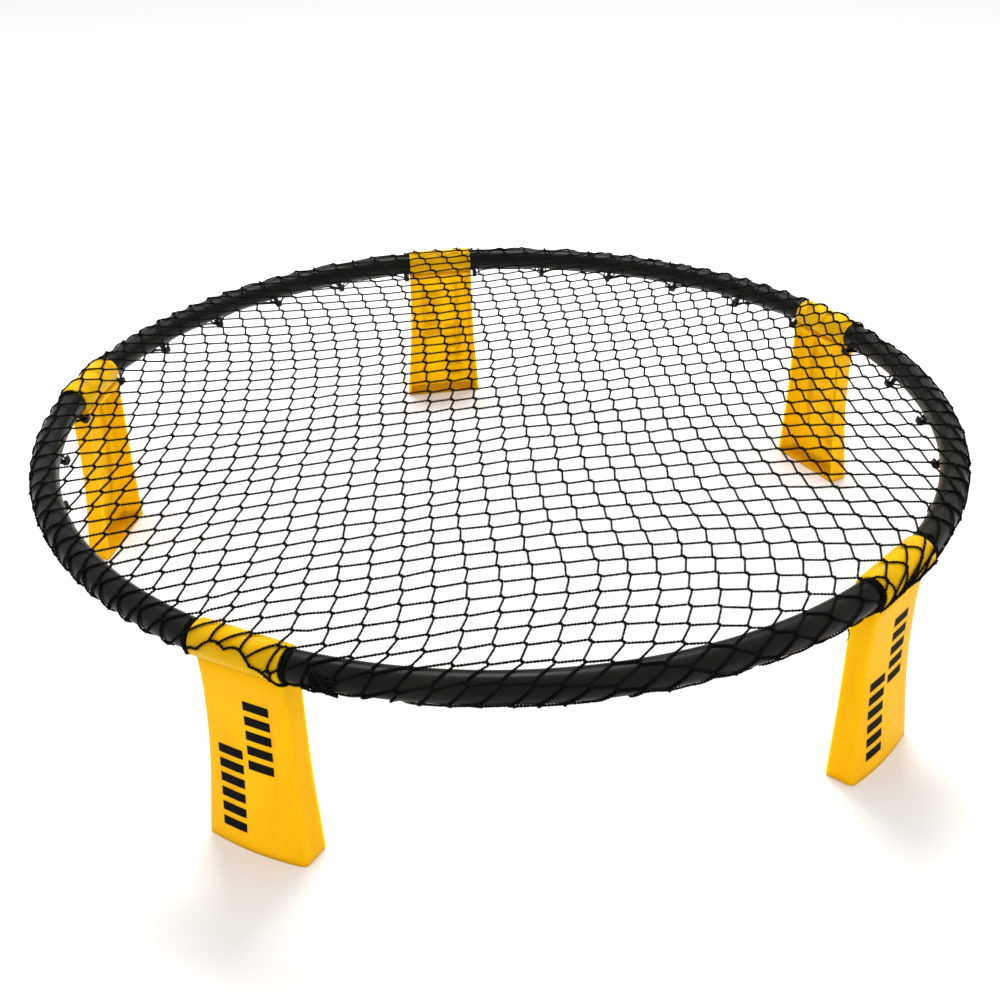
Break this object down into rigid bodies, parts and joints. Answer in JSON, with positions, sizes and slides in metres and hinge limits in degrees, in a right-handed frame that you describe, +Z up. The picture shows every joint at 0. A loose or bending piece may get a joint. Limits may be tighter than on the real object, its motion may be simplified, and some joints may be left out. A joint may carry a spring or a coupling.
{
  "type": "roundnet set",
  "caption": "Round playing net stretched over a tubular rim that stands on folding moulded legs.",
  "frame": {"origin": "on the ground plane, under the centre of the rim", "axes": "+Z up, square to the net; +Y from the centre towards leg_1, with the other legs every 72 degrees anticlockwise seen from above"},
  "size_m": [0.9138, 0.9198, 0.2082],
  "materials": {
    "rim_tube": "soft black blow-moulded polyethylene, satin",
    "leg": "amber yellow injection-moulded polypropylene, smooth satin",
    "net_hook": "black nylon, as moulded",
    "net": "black twisted cord, knotless mesh"
  },
  "bodies": {
    "rim": {"rim_tube_1": "rim_tube", "net_hook_1_1": "net_hook", "net_hook_1_2": "net_hook", "net_hook_1_3": "net_hook", "net_hook_1_4": "net_hook", "net_hook_1_5": "net_hook", "net_hook_1_6": "net_hook", "rim_tube_2": "rim_tube", "net_hook_2_1": "net_hook", "net_hook_2_2": "net_hook", "net_hook_2_3": "net_hook", "net_hook_2_4": "net_hook", "net_hook_2_5": "net_hook", "net_hook_2_6": "net_hook", "rim_tube_3": "rim_tube", "net_hook_3_1": "net_hook", "net_hook_3_2": "net_hook", "net_hook_3_3": "net_hook", "net_hook_3_4": "net_hook", "net_hook_3_5": "net_hook", "net_hook_3_6": "net_hook", "rim_tube_4": "rim_tube", "net_hook_4_1": "net_hook", "net_hook_4_2": "net_hook", "net_hook_4_3": "net_hook", "net_hook_4_4": "net_hook", "net_hook_4_5": "net_hook", "net_hook_4_6": "net_hook", "rim_tube_5": "rim_tube", "net_hook_5_1": "net_hook", "net_hook_5_2": "net_hook", "net_hook_5_3": "net_hook", "net_hook_5_4": "net_hook", "net_hook_5_5": "net_hook", "net_hook_5_6": "net_hook", "net": "net"},
    "leg_1": {"leg_1": "leg"},
    "leg_2": {"leg_2": "leg"},
    "leg_3": {"leg_3": "leg"},
    "leg_4": {"leg_4": "leg"},
    "leg_5": {"leg_5": "leg"}
  },
  "joints": [
    {"name": "leg_1_hinge", "type": "hinge", "parent": "rim", "child": "leg_1", "pos_m": [0, 0.44046, 0.191], "axis": [-1, 0, 0], "range_deg": [0, 85]},
    {"name": "leg_2_hinge", "type": "hinge", "parent": "rim", "child": "leg_2", "pos_m": [-0.4189, 0.13611, 0.191], "axis": [-0.309, -0.9511, 0], "range_deg": [0, 85]},
    {"name": "leg_3_hinge", "type": "hinge", "parent": "rim", "child": "leg_3", "pos_m": [-0.2589, -0.35634, 0.191], "axis": [0.809, -0.5878, 0], "range_deg": [0, 85]},
    {"name": "leg_4_hinge", "type": "hinge", "parent": "rim", "child": "leg_4", "pos_m": [0.2589, -0.35634, 0.191], "axis": [0.809, 0.5878, 0], "range_deg": [0, 85]},
    {"name": "leg_5_hinge", "type": "hinge", "parent": "rim", "child": "leg_5", "pos_m": [0.4189, 0.13611, 0.191], "axis": [-0.309, 0.9511, 0], "range_deg": [0, 85]}
  ]
}
